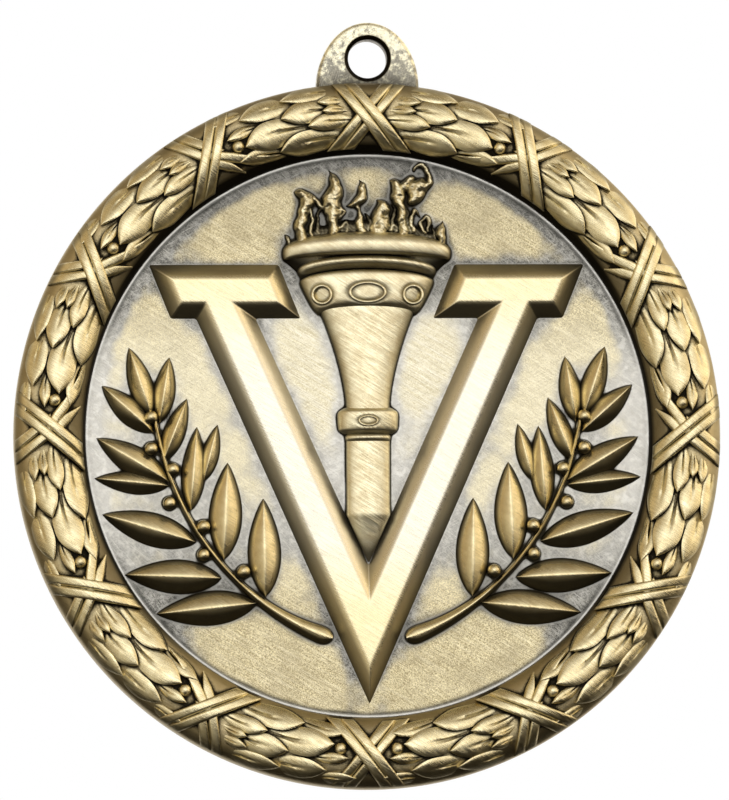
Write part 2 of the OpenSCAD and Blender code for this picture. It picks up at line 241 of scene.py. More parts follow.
def make_plate():
    piece = Piece("medal_plate", piece_mask=lambda x, y, h: in_letter(x, y))
    profile = [(0.25, 0.0)] + [(r, 0.0) for r in np.linspace(5, FIELD_R, 12)]
    profile += [(r, FIELD_T) for r in np.linspace(FIELD_R, 0.25, 124)]
    piece.loops([ellipse(0, 0, r, r, h, 720) for r, h in profile], False, [(0, -1), (-1, 1)])


def wall_shade(y):
    """Share of the inner wall's patina and painted shade that is left at the height y: little along the
    bottom, where the light falls.
    """
    return mix(0.2, 1.0, smooth(-24, -12, y))


def rim_patina_and_shade(x, y, h):
    """Patina and painted shade of the rim: black on its inner wall, thinner between the leaves and on the
    outer lip; the painted shade grows towards the top and is thin along the bottom.
    """
    r = np.hypot(x, y)
    start = FIELD_R + 0.2 + 0.55 * smooth(6, 24, y)
    wall = 1 - smooth(start, start + 0.7, r)
    between = 0.6 * (1 - smooth(27.2, 28.2, r))
    lip = 0.55 * smooth(31.2, 32.0, r) * mix(0.65, 1.0, smooth(20, 30, y))
    return np.maximum(np.maximum(wall, between) * wall_shade(y), lip)


def wreath_patina_and_shade(x, y, h):
    """Patina and painted shade of the leaves and ribbons: at the inner wall, thin along the bottom, and
    painted shade at the outer lip.
    """
    r = np.hypot(x, y)
    return np.maximum(0.7 * (1 - smooth(26.0, 26.6, r)) * wall_shade(y), 0.6 * smooth(31.7, 32.2, r))


def make_rim():
    piece = Piece("rim_ring", piece_mask=rim_patina_and_shade)
    inner = [(FIELD_R, FIELD_T), (FIELD_R + 0.06, FIELD_T + 0.35), (FIELD_R + 0.2, FIELD_T + 0.66)]
    crest = [(r, ground(r)) for r in np.linspace(FIELD_R + 0.5, DISC_R - 0.25, 28)]
    outer = [(DISC_R - 0.13, 3.1), (DISC_R - 0.04, 2.7), (DISC_R, 2.2), (DISC_R, 0.45),
             (DISC_R - 0.08, 0.2), (DISC_R - 0.28, 0.03), (DISC_R - 0.5, 0.0)]
    back = [(r, 0.0) for r in np.linspace(DISC_R - 1.2, FIELD_R, 5)]
    profile = (inner + crest + outer + back)[::-1]
    piece.loops([ellipse(0, 0, r, r, h, 1080) for r, h in profile], True)


def lug_painted_shade(x, y, h):
    """Painted shade on the lug: on the wall of its hole and along its root."""
    wall = (np.hypot(x, y - HOLE_Y) < HOLE_R + 0.36) & (h < LUG_T - 0.01)
    return np.maximum(wall, 0.85 * (1 - smooth(32.2, 34.4, y + 0.04 * x * x)))


def make_lug():
    """Half an ellipse with rounded edges around the suspension hole; its root ends inside the rim."""
    piece = Piece("suspension_lug", piece_mask=lug_painted_shade)
    t = np.linspace(0, math.pi, 121)
    arc = np.stack([LUG_HALF_W * np.cos(t), LUG_LINE + (LUG_TOP - LUG_LINE) * np.sin(t)], 1)
    root_y = DISC_R - 1.2
    foot = np.stack([np.linspace(-LUG_HALF_W, LUG_HALF_W, 41)[1:-1], np.full(39, root_y)], 1)
    outline = np.concatenate([arc, [[-LUG_HALF_W, root_y]], foot, [[LUG_HALF_W, root_y]]])
    centre = np.array([0, HOLE_Y])
    out = outline - centre
    reach = np.linalg.norm(out, axis=1)[:, None]
    out /= reach
    soft = 0.42                       # radius of the rounded edges
    rings = []

    def ring(distance, h, from_hole=False):
        r = distance if from_hole else reach - distance
        rings.append(np.concatenate([centre + out * r, np.full((len(out), 1), h)], 1))

    ring(HOLE_R, 0.0, True)
    ring(0.25, 0.0)
    ring(0.05, 0.1)
    ring(0.0, 0.3)
    for k in np.linspace(0, math.pi / 2, 7):
        ring(soft * (1 - math.cos(k)), LUG_T - soft + soft * math.sin(k))
    for s in np.linspace(0, 1, 9)[1:-1]:
        rings.append(np.concatenate([centre + out * mix(reach - soft, HOLE_R + HOLE_CHAMFER + 0.1, s),
                                     np.full((len(out), 1), LUG_T)], 1))
    mouth = [(HOLE_CHAMFER + 0.1, 0), (HOLE_CHAMFER + 0.02, -0.02), (HOLE_CHAMFER - 0.06, -0.09),
             (0.06, -0.26), (0.0, -0.34)]
    for r, h in mouth:
        ring(HOLE_R + r, LUG_T + h, True)
    ring(HOLE_R, 1.2, True)
    piece.loops(rings, True)


# ---- wreath ----

# Leaves of a garland: share of the way from tie to tie, radius at the root and at the tip, half-width
GARLAND_LEAVES = [
    ((0.13, 0.30), (30.75, 30.85), 0.45), ((0.13, 0.28), (29.9, 29.95), 0.42),
    ((0.10, 0.38), (28.9, 28.75), 0.75), ((0.20, 0.53), (29.95, 30.0), 1.05),
    ((0.18, 0.59), (27.4, 27.1), 1.06), ((0.16, 0.51), (31.72, 31.6), 0.68),
    ((0.42, 0.765), (31.1, 31.1), 0.92), ((0.40, 0.79), (28.75, 28.6), 1.32),
    ((0.66, 0.88), (29.95, 29.8), 0.50), ((0.56, 0.86), (26.95, 27.5), 0.66),
    ((0.69, 0.93), (31.65, 31.6), 0.50)]
BERRY_AT = (0.83, 28.95)


def garland_leaf(piece, i, share, radii, half_w):
    """A leaf between the ties i and i + 1, creased near its root and rising to its pointed tip."""
    u = np.linspace(0, 1, 24)
    a = mix(tie_angle(i), tie_angle(i + 1), mix(share[0], share[1], u))
    bow = 0.12 * half_w * np.sin(math.pi * u)
    path = polar(mix(radii[0], radii[1], u) + bow, a)
    grow, shrink = np.clip(u / 0.58, 0, 1), np.clip((u - 0.58) / 0.42, 0, 1)
    wide = mix(0.62, 1.0, np.sin(math.pi / 2 * grow)) * np.cos(math.pi / 2 * shrink) ** 0.85
    lift = lambda u: mix(-0.42, 0.24, smooth(0.0, 0.85, u)) - 0.05 * smooth(0.92, 1, u)

    def height(r, u, v):
        crease = 0.22 * np.exp(-((v - 0.05) / 0.09) ** 2) * (1 - smooth(0.35, 0.72, u))
        return dome(r) + lift(u) - 0.15 * np.abs(v) ** 3 - crease
    piece.sweep(path, np.maximum(half_w * wide, 0.015), height, 19, SEAT)


def local_to_disc(points, a):
    """Turns points drawn around the top clockwise by the angle a."""
    c, s = math.cos(a), math.sin(a)
    return np.asarray(points, float) @ np.array([[c, -s], [s, c]])


def band_top(lift, grooved=True):
    """Height of a ribbon: two rounded strips with a groove between them, or one strip."""
    def height(r, u, v):
        if grooved:
            strip = 0.09 * np.sqrt(np.maximum(1 - np.abs(2 * np.abs(v) - 1) ** 3, 0))
            strip = strip - 0.16 * np.exp(-(v / 0.13) ** 2)
        else:
            strip = 0.12 * (1 - v ** 4)
        return dome(r) + lift + strip - 0.1 * np.abs(v) ** 10
    return height


def band_points(lean, r_from, r_to, n, columns):
    """Grid of points on a slanted band drawn around the top; both its ends follow circles."""
    d = np.array([lean * math.sin(BAND_SLANT), -math.cos(BAND_SLANT)])
    side = np.array([-d[1], d[0]])
    grid = []
    for v in np.linspace(-1, 1, columns):
        start = np.array([0, TIE_R]) + side * BAND_HALF * v
        along, gap = start @ d, start @ start
        reach = [-along - math.sqrt(max(along ** 2 - gap + r * r, 0)) for r in (r_from, r_to)]
        grid.append(start + np.linspace(reach[0], reach[1], n)[:, None] * d)
    return np.stack(grid, 1)


def lay_band(piece, lean, r_from, r_to, lift, a):
    n, columns = 36, 27
    xy = local_to_disc(band_points(lean, r_from, r_to, n, columns), a)
    h = band_top(lift)(np.linalg.norm(xy, axis=2), 0, np.linspace(-1, 1, columns)[None])
    piece.relief(np.concatenate([xy, np.clip(h, 2.9, TOP)[..., None]], 2), 2.8)


# The under-band's two strips beyond a crossing: (radius, angle) of points, rows, shares along and half-widths
LONG_TAIL = (((29.35, 0.5), (28.65, -2.0), (27.8, -4.7), (27.15, -8.0), (26.85, -12.0)), 34,
             [0, 0.4, 0.75, 1], [0.46, 0.46, 0.34, 0.03])
SHORT_TAIL = (((28.7, 0.5), (27.6, -2.0), (26.5, -4.4)), 22, [0, 0.5, 1], [0.46, 0.42, 0.06])


def lay_tail(piece, a, points, n, shares, widths):
    path = smooth_path([polar(r, math.radians(t)) for r, t in points], n)
    piece.sweep(local_to_disc(path, a), np.interp(np.linspace(0, 1, n), shares, widths),
                band_top(0.0, False), 11, FIELD_T + 0.3)


def make_tie(number):
    right = number <= 7
    piece = Piece("ribbon_tie_%02d" % number, mirrored=not right, piece_mask=wreath_patina_and_shade)
    a = tie_angle(number - 1 if right else number - 7)
    lay_band(piece, 1, DISC_R - 0.1, FIELD_R + 0.3, 0.2, a)
    if number in (1, 7):                  # the ties at the top and at the bottom are plain crosses
        lay_band(piece, -1, DISC_R - 0.1, FIELD_R + 0.4, 0.0, a)
        return
    lay_band(piece, -1, DISC_R - 0.1, TIE_R - 0.2, 0.0, a)
    lay_tail(piece, a, *LONG_TAIL)
    lay_tail(piece, a, *SHORT_TAIL)


def make_garland(number):
    piece = Piece("garland_%02d" % number, mirrored=number > 6, piece_mask=wreath_patina_and_shade)
    for share, radii, half_w in GARLAND_LEAVES:
        garland_leaf(piece, (number - 1) % 6, share, radii, half_w)


def make_garland_berries():
    piece = Piece("garland_berries")
    for mirrored in (False, True):
        for i in range(6):
            x, y = polar(BERRY_AT[1], mix(tie_angle(i), tie_angle(i + 1), BERRY_AT[0]))
            piece.bead(x, y, 0.64, float(dome(BERRY_AT[1])) + 0.12, SEAT, mirrored)


# ---- letter ----

# The right-hand half of the outline, from the tip round to the notch
LETTER_HALF = [(0, LETTER_TIP), (STROKE_OUT, SERIF_FOOT), (18.04, SERIF_FOOT), (20.03, SERIF_TOP),
               (8.09, SERIF_TOP), (6.1, SERIF_FOOT), (STROKE_IN, SERIF_FOOT), (0, LETTER_NOTCH)]
LETTER = np.array(LETTER_HALF + [(-x, y) for x, y in LETTER_HALF[6:0:-1]])


def inset_outline(d, rounding):
    """The letter's outline moved inwards by d, with each corner rounded."""
    n, steps = len(LETTER), 6
    corners = []
    for i in range(n):
        e0, e1 = LETTER[i] - LETTER[i - 1], LETTER[(i + 1) % n] - LETTER[i]
        e0, e1 = e0 / np.linalg.norm(e0), e1 / np.linalg.norm(e1)
        n0, n1 = np.array([-e0[1], e0[0]]), np.array([-e1[1], e1[0]])
        corners.append((LETTER[i] + (n0 + n1) * d / (1 + n0 @ n1), e0, e1))
    points = []
    for c, e0, e1 in corners:
        p, q = c - e0 * rounding, c + e1 * rounding
        for t in np.linspace(0, 1, steps):
            points.append((1 - t) ** 2 * p + 2 * t * (1 - t) * c + t * t * q)
    return np.array(points)


def letter_shade_and_patina(x, y, h):
    """Painted shade on the letter's bevels, strongest on the outer side of each stroke, with patina added at
    the foot, where it is darkest.
    """
    middle = (y + 18.3) * 12.98 / 29.07   # half-width of the letter along the middle of its strokes
    outer = smooth(-0.3, 0.3, np.abs(x) - middle)
    bevel = 1 - smooth(0.75, 1.2, h - FIELD_T)
    foot = 1 - smooth(0.0, 0.7, h - FIELD_T)
    return bevel * mix(0.10, 0.55, outer) + foot * 0.25


def make_letter():
    piece = Piece("letter_v", turned=True, piece_mask=letter_shade_and_patina)
    soft = [(LETTER_BEVEL - 0.30 + 0.62 * t, LETTER_H - 0.30 + 0.30 * math.sin(t * math.pi / 2))
            for t in np.linspace(0, 1, 7)]
    # inset, height above the field and corner radius of each outline
    levels = [(0.0, -0.1, 0.25), (0.0, 0.0, 0.25), (0.04, 0.07, 0.24)]
    levels += [(d, h, 0.2) for d, h in soft] + [(LETTER_BEVEL + 0.5, LETTER_H, 0.12)]
    rings = []
    for d, h, rounding in levels:
        outline = inset_outline(d, rounding)
        rings.append(np.concatenate([outline, np.full((len(outline), 1), FIELD_T + h)], 1))
    piece.loops(rings, False, [(0, -1), (-1, 1)])


# ---- torch ----

def torch_band(node, levels, n, columns=61, power=0.7, piece_mask=None, carve=None):
    """A rounded body across the torch. Levels [y at the ends, half-width, bow, height] shape it upwards."""
    piece = Piece(node, turned=True, piece_mask=piece_mask)
    t = np.linspace(math.pi / 2, -math.pi / 2, columns)
    rows = []
    for y, w, bow, h in smooth_path(levels, n):
        top = FIELD_T + 0.12 + h * np.maximum(np.cos(t), 0) ** power
        rows.append(np.stack([w * np.sin(t), y + bow * np.cos(t), top], 1))
    rows = np.array(rows)
    if carve:
        rows[..., 2] -= carve(rows[..., 0], rows[..., 1])
    piece.relief(rows, FIELD_T - 0.1)


# Oval rings on the cup: centre, half-axes
CUP_OVALS = [(0.0, 13.05, 1.62, 0.88), (-4.2, 12.85, 0.86, 0.82), (4.2, 12.85, 0.86, 0.82)]
COLLAR_OVAL = (0.0, 1.25, 0.84, 0.42)


def beside_ovals(ovals, width):
    """1 on the ovals' lines, falling to 0 within the given width, for points of the upright torch."""
    def near(x, y):
        total = 0
        for cx, cy, a, b in ovals:
            q = np.hypot((x - cx) / a, (y - cy) / b)
            total = total + np.exp(-((q - 1) * min(a, b) / width) ** 2)
        return np.minimum(total, 1)
    return near


def foot_patina_and_shade(low, high, strength):
    """Patina at the foot of the relief and painted shade on its low sloping sides, fading from the height low
    above the field to the height high.
    """
    return lambda x, y, h: strength * (1 - smooth(low, high, h - FIELD_T))


def around_ovals(ovals, width, strength, foot):
    """Patina beside the ovals of the turned torch, together with the patina and painted shade at its foot."""
    near = beside_ovals(ovals, width)

    def piece_mask(x, y, h):
        c, s = math.cos(-TURN), math.sin(-TURN)
        return np.maximum(strength * near(x * c - y * s, x * s + y * c), foot(x, y, h))
    return piece_mask


def make_lip():
    torch_band("torch_lip", [
        [14.95, 6.35, 0.55, 0.5], [15.6, 7.05, 0.66, 0.6], [15.92, 7.45, 0.64, 0.75],
        [16.02, 7.6, 0.66, 1.2], [16.15, 7.7, 0.70, 1.44], [16.45, 7.77, 0.80, 1.54],
        [16.75, 7.78, 0.95, 1.55], [16.95, 7.75, 1.1, 1.42], [17.1, 7.65, 1.3, 1.15],
        [17.2, 7.5, 1.5, 0.75]], 60, power=0.6, piece_mask=foot_patina_and_shade(0.45, 1.05, 1.0))


def make_moulding():
    torch_band("torch_moulding", [
        [14.3, 6.05, 1.05, 0.6], [14.45, 6.15, 1.12, 0.95], [14.65, 6.28, 1.15, 1.22],
        [14.85, 6.38, 1.2, 1.32], [15.02, 6.4, 1.2, 1.28], [15.15, 6.38, 1.25, 1.1],
        [15.25, 6.3, 1.3, 0.8]], 30, piece_mask=foot_patina_and_shade(0.4, 1.0, 0.95))


def make_cup():
    near = beside_ovals(CUP_OVALS, 0.2)
    torch_band("torch_cup", [
        [11.0, 4.5, 0.5, 0.7], [11.12, 4.6, 0.62, 1.0], [11.3, 4.75, 0.75, 1.32],
        [11.6, 5.0, 0.85, 1.48], [12.3, 5.4, 0.95, 1.52], [13.1, 5.82, 1.05, 1.52],
        [13.7, 6.1, 1.1, 1.45], [13.95, 6.2, 1.13, 1.25], [14.05, 6.2, 1.15, 0.9]], 90, 181,
        piece_mask=around_ovals(CUP_OVALS, 0.26, 0.75, foot_patina_and_shade(0.4, 1.05, 0.9)),
        carve=lambda x, y: 0.12 * near(x, y))


def make_shaft():
    s = np.linspace(0, 1, 12)
    levels = np.stack([mix(2.4, 11.2, s), 2.0 + 2.3 * s ** 1.6, 0.9 * s, np.full(12, 1.1)], 1)
    torch_band("torch_shaft", levels, 40, power=0.6, piece_mask=foot_patina_and_shade(0.35, 1.05, 0.9))


def make_collar():
    near = beside_ovals([COLLAR_OVAL], 0.13)
    torch_band("torch_collar", [
        [0.05, 2.2, 0.05, 0.7], [0.2, 2.45, 0.05, 0.95], [0.45, 2.72, 0.06, 1.3], [1.2, 2.8, 0.08, 1.42],
        [1.95, 2.8, 0.1, 1.4], [2.25, 2.55, 0.1, 1.15], [2.5, 2.1, 0.1, 0.85]], 60, 101,
        piece_mask=around_ovals([COLLAR_OVAL], 0.15, 0.7, foot_patina_and_shade(0.3, 0.85, 0.9)),
        carve=lambda x, y: 0.08 * near(x, y))


def make_bead():
    torch_band("torch_bead", [
        [-0.75, 1.95, 0.0, 0.6], [-0.55, 2.05, 0.0, 0.92], [-0.25, 2.12, 0.0, 1.1], [0.0, 2.05, 0.02, 0.95],
        [0.12, 1.95, 0.02, 0.7]], 16, piece_mask=foot_patina_and_shade(0.35, 0.8, 0.9))


def make_handle():
    """The handle's lower end narrows into the notch of the letter."""
    full = 2.03
    half = lambda y: min(full, opening(y) - 0.05)
    torch_band("torch_handle", [[y, half(y), 0, half(y) / full] for y in np.linspace(-11.65, -0.6, 24)], 60,
               power=0.6, piece_mask=foot_patina_and_shade(0.3, 0.75, 0.9))


def oval(piece, x, y, a, b, width, top):
    """A raised oval ring with a round section."""
    arch = [(math.cos(k), math.sin(k)) for k in np.linspace(0, math.pi, 9)]
    rings = []
    for s, k in [(1.0, -0.9)] + arch + [(-1.0, -0.9)]:
        grow = s * width / 2
        rings.append(ellipse(x, y, a + grow, b + grow, top + k * width / 2, 48))
    rings[0][:, 2] = rings[-1][:, 2] = FIELD_T + 0.2
    piece.loops(rings, True)


def make_oval_rings():
    rings = Piece("torch_cup_rings", turned=True)
    for k, (x, y, a, b) in enumerate(CUP_OVALS):
        oval(rings, x, y, a, b, 0.24, FIELD_T + (1.60 if k == 0 else 1.36))
    collar = Piece("torch_collar_ring", turned=True)
    oval(collar, *COLLAR_OVAL, 0.18, FIELD_T + 1.5)


# Flames: points of a ridge from the root up, its half-width at each point, and its rise
FLAMES = [
    ([(-7.05, 17.5), (-7.15, 18.1), (-7.5, 18.5)], [0.2, 0.2, 0.1], 0.8),
    ([(-6.0, 18.0), (-6.0, 19.8), (-5.6, 21.0), (-5.5, 21.8), (-6.2, 22.3), (-6.65, 22.45)],
     [0.5, 0.55, 0.52, 0.78, 0.34, 0.04], 0.95),
    ([(-5.1, 18.2), (-5.05, 20.6), (-5.4, 21.2)], [0.24, 0.2, 0.16], 0.85),
    ([(-4.8, 21.75), (-4.2, 21.05), (-3.75, 21.3)], [0.34, 0.27, 0.25], 0.7),
    ([(-3.0, 18.6), (-3.1, 19.6), (-3.0, 20.5), (-3.2, 21.3), (-3.05, 22.0), (-2.8, 22.8), (-2.95, 23.6),
      (-3.45, 24.45)],
     [0.5, 0.5, 0.68, 0.98, 0.88, 0.6, 0.36, 0.04], 1.0),
    ([(-3.2, 18.9), (-2.3, 19.25), (-1.8, 19.5), (-1.5, 19.2)], [0.3, 0.26, 0.24, 0.15], 0.7),
    ([(-1.7, 21.1), (-0.85, 21.5), (-0.35, 22.15), (-0.33, 22.9), (-0.68, 23.6)],
     [0.08, 0.46, 0.46, 0.32, 0.04], 0.9),
    ([(-0.4, 18.7), (-0.65, 19.8), (-0.6, 20.8)], [0.52, 0.38, 0.14], 0.8),
    ([(1.15, 18.7), (1.3, 19.8), (1.5, 20.6), (1.35, 21.2), (1.05, 21.7)],
     [0.95, 0.95, 0.74, 0.46, 0.12], 0.95),
    ([(3.4, 18.5), (3.25, 20.5), (3.05, 21.6), (2.9, 22.3), (2.75, 23.1), (2.3, 23.6)],
     [0.56, 0.42, 0.6, 0.66, 0.46, 0.04], 0.95),
    ([(4.3, 21.5), (4.6, 22.5), (4.9, 22.9)], [0.42, 0.98, 0.85], 1.0),
    ([(5.3, 22.7), (5.75, 23.3), (5.85, 24.0), (5.4, 24.7), (4.8, 24.85), (4.4, 24.4)],
     [0.5, 0.34, 0.28, 0.27, 0.24, 0.12], 0.85),
    ([(3.5, 22.9), (4.0, 23.5), (4.35, 23.9)], [0.5, 0.4, 0.12], 0.8),
    ([(4.3, 18.8), (4.15, 20.0), (4.45, 20.65), (4.8, 20.2)], [0.3, 0.25, 0.24, 0.13], 0.75),
    ([(5.3, 18.7), (5.05, 19.6), (5.4, 20.1), (5.78, 19.6), (5.7, 18.8)],
     [0.28, 0.23, 0.25, 0.24, 0.2], 0.75),
    ([(2.25, 18.8), (2.35, 19.4), (2.75, 19.1)], [0.3, 0.25, 0.2], 0.7),
    ([(6.9, 17.5), (6.85, 18.6), (6.92, 19.65)], [0.3, 0.54, 0.04], 0.95),
    ([(-6.35, 18.2), (-6.5, 19.3), (-6.3, 20.3)], [0.24, 0.2, 0.12], 0.75),
    ([(-4.35, 18.5), (-4.55, 19.5), (-4.3, 20.7)], [0.28, 0.2, 0.2], 0.6),
    ([(-2.5, 20.9), (-2.15, 20.5), (-2.45, 20.1), (-2.8, 20.3)], [0.3, 0.22, 0.2, 0.14], 0.8),
    ([(-0.6, 20.6), (-0.75, 21.1), (-0.6, 21.6)], [0.2, 0.26, 0.35], 0.75),
    ([(0.1, 18.6), (0.3, 19.5), (-0.05, 20.4)], [0.3, 0.22, 0.16], 0.62),
    ([(2.35, 19.5), (2.6, 20.4), (2.45, 21.2)], [0.26, 0.22, 0.16], 0.6),
    ([(3.9, 18.6), (3.8, 19.9), (3.65, 20.9)], [0.3, 0.22, 0.2], 0.6),
    ([(2.75, 18.6), (2.7, 19.5)], [0.28, 0.16], 0.66),
    ([(-1.9, 18.7), (-1.75, 19.2), (-1.2, 19.35)], [0.3, 0.22, 0.2], 0.6),
    ([(6.2, 17.9), (6.25, 18.7), (6.1, 19.3)], [0.25, 0.18, 0.1], 0.65),
    ([(-6.0, 18.1), (-3.0, 18.85), (0.0, 19.1), (3.0, 18.9), (6.0, 18.1)],
     [0.5, 0.85, 0.85, 0.85, 0.5], 0.36)]
# Hollows in the flames: centre, radius, depth
FLAME_HOLLOWS = [
    (1.68, 20.15, 0.30, 0.4), (-2.62, 20.72, 0.2, 0.35), (-5.55, 20.3, 0.16, 0.35), (-5.6, 19.2, 0.16, 0.4),
    (-3.45, 21.05, 0.2, 0.25), (4.9, 22.3, 0.3, 0.25), (4.3, 22.75, 0.25, 0.2), (5.35, 23.45, 0.25, 0.25),
    (3.1, 21.9, 0.2, 0.2), (1.0, 19.3, 0.25, 0.25), (3.3, 19.6, 0.16, 0.3), (-5.3, 22.0, 0.2, 0.2)]


def ridge(x, y, points, widths, rise):
    """Height over a grid of a rounded ridge along a path."""
    path = smooth_path(points, 14 * len(points))
    w = np.interp(np.linspace(0, 1, len(path)), np.linspace(0, 1, len(widths)), widths)
    top = np.full(x.shape, -0.1)
    for (px, py), r in zip(path, w):
        q = ((x - px) ** 2 + (y - py) ** 2) / (r * r)
        full = rise * min(r / 0.42, 1.15) ** 0.6
        top = np.where(q < 1, np.maximum(top, full * np.maximum(1 - q ** 1.2, 0) ** 0.62), top)
    return top


def make_flames():
    """All flames in one sheet of heights that dips under the field between them."""
    piece = Piece("torch_flames", turned=True, piece_mask=foot_patina_and_shade(0.30, 0.64, 1.0))
    x, y = np.meshgrid(np.linspace(7.7, -7.9, 240), np.linspace(17.2, 25.2, 126))
    bent_x = x + 0.09 * np.sin(3.7 * y + 1.1 * x) + 0.03 * np.sin(8.3 * y - 2.0 * x)
    bent_y = y + 0.07 * np.sin(4.9 * x + 0.7 * y)
    top = np.max([ridge(bent_x, bent_y, *flame) for flame in FLAMES], axis=0)
    top += 0.035 * np.sin(9 * x + 4 * np.sin(3 * y)) * np.sin(8 * y + 3 * np.sin(4 * x)) * (top > 0.2)
    for cx, cy, r, depth in FLAME_HOLLOWS:
        top = top - depth * np.exp(-((x - cx) ** 2 + (y - cy) ** 2) / (r * r)) * (top > 0)
    piece.relief(np.stack([x, y, FIELD_T + top], -1), FIELD_T - 0.2)


# ---- branches ----

STEM = [(3.4, -18.65), (11, -16.3), (17.8, -9.0), (19.5, 1.3)]
# Leaves of the right-hand branch: root, tip, half-width, share of the full height
BRANCH_LEAVES = [
    ((10.3, -15.4), (19.5, -16.35), 1.60, 1.0), ((13.5, -13.1), (22.35, -12.75), 1.60, 1.0),
    ((15.8, -9.8), (24.4, -7.2), 1.55, 1.0), ((18.3, -4.6), (25.1, -3.9), 1.10, 0.8),
    ((18.3, -4.2), (24.9, -0.2), 1.40, 1.0), ((19.7, 0.3), (24.4, 4.6), 1.20, 1.0),
    ((19.9, 1.8), (21.9, 8.1), 1.15, 1.0), ((19.1, 1.2), (18.2, 7.2), 1.05, 1.0),
    ((18.8, -2.4), (16.6, 3.4), 1.05, 1.0), ((16.3, -6.9), (15.7, 0.8), 1.15, 1.0),
    ((15.1, -4.2), (13.8, 1.0), 0.85, 0.75), ((13.3, -11.4), (12.9, -2.5), 1.55, 1.0),
    ((9.5, -14.8), (9.65, -5.8), 1.55, 1.0)]
BRANCH_BERRIES = [(19.9, 1.7), (19.9, -1.2), (17.95, -3.1), (18.25, -6.2), (15.15, -8.35), (15.15, -10.95),
                  (11.5, -12.5)]
LEAF_RISE = 1.1


def branch_leaf(piece, root, tip, half_w, share):
    """A pointed leaf with a sharp midrib and slightly full halves."""
    u = np.linspace(0, 1, 30)
    path = np.array(root) + u[:, None] * (np.array(tip) - np.array(root))
    shape = np.maximum(np.sin(math.pi * u ** 0.85) ** 0.8, 0.01)
    lengthwise = lambda u: np.maximum(np.sin(math.pi * np.clip(u, 0.03, 0.985) ** 0.85), 0) ** 0.45

    def height(r, u, v):
        section = 0.55 * (1.05 - np.sqrt(v * v + 0.0045)) + 0.45 * (1 - np.abs(v) ** 2.2)
        return FIELD_T + 0.08 + share * LEAF_RISE * lengthwise(u) * section
    piece.sweep(path, half_w * shape, height, 33)


def make_branch(side):
    mirrored = side == "left"
    stem = Piece("stem_" + side, True, mirrored, foot_patina_and_shade(0.15, 0.45, 0.95))
    path = bezier(STEM, 60)
    w = np.interp(path[:, 0], [3.4, 3.55, 3.9, 4.4, 6, 8, 10, 12, 20],
                  [0.3, 0.6, 0.8, 0.86, 0.7, 0.54, 0.42, 0.29, 0.23])
    arch = lambda r, u, v: FIELD_T + 0.1 + 0.8 * np.sqrt(np.maximum(1 - np.abs(v) ** 1.6, 0))
    stem.sweep(path, w, arch, 13)
    leaves = Piece("leaves_" + side, True, mirrored, foot_patina_and_shade(0.2, 0.64, 0.95))
    for leaf in BRANCH_LEAVES:
        branch_leaf(leaves, *leaf)
    berries = Piece("berries_" + side, True, mirrored, foot_patina_and_shade(0.2, 0.55, 0.95))
    for x, y in BRANCH_BERRIES:
        berries.bead(x, y, 0.62, FIELD_T + 1.15, FIELD_T - 0.1)


# ---- patina and painted shade: how deep each point lies below its surroundings, and each piece's mask ----

CELL, REACH = 0.1, 33                # the grid's spacing, and its extent from the medal's centre
RAY_START = 20


def front_heights():
    """Grid of the front's heights, CELL apart, looked up by rays from in front of the medal."""
    points, faces, start = [], [], 0
    for piece in Piece.made:
        points += piece.world.tolist()
        faces += [[i + start for i in f] for f in piece.faces if len(f) < 50 or piece.node == "letter_v"]
        start += len(piece.world)
    tree = BVHTree.FromPolygons(points, faces)
    n = int(2 * REACH / CELL) + 1
    grid = np.zeros((n, n))
    for i in range(n):
        y = -REACH + i * CELL
        half = math.sqrt(max(DISC_R ** 2 - y * y, 0))
        for j in range(max(int((REACH - half) / CELL), 0), min(int((REACH + half) / CELL) + 1, n)):
            start = Vector((-REACH + j * CELL, -RAY_START, y)) * MM
            hit = tree.ray_cast(start, Vector((0, 1, 0)))[0]
            if hit is not None:
                grid[i, j] = -hit.y / MM
    return grid


def blurred(grid, sigma):
    """Gaussian blur; sigma in millimetres."""
    s = sigma / CELL
    k = np.arange(-int(3 * s) - 1, int(3 * s) + 2)
    w = np.exp(-0.5 * (k / s) ** 2)
    w /= w.sum()
    pad = len(k) // 2
    g = np.pad(grid, pad, mode="edge")
    g = np.stack([np.convolve(row, w, "valid") for row in g])
    return np.stack([np.convolve(row, w, "valid") for row in g.T]).T


def sample(grid, x, y):
    """The grid's values at the given points, interpolated between its cells."""
    n = len(grid)
    fx, fy = (np.clip((q + REACH) / CELL, 0, n - 1.001) for q in (x, y))
    i, j = fy.astype(int), fx.astype(int)
    a, b = fy - i, fx - j
    return ((grid[i, j] * (1 - b) + grid[i, j + 1] * b) * (1 - a)
            + (grid[i + 1, j] * (1 - b) + grid[i + 1, j + 1] * b) * a)


def set_attribute(mesh, name, values):
    mesh.attributes.new(name, "FLOAT", "POINT").data.foreach_set("value", np.asarray(values, np.float32))


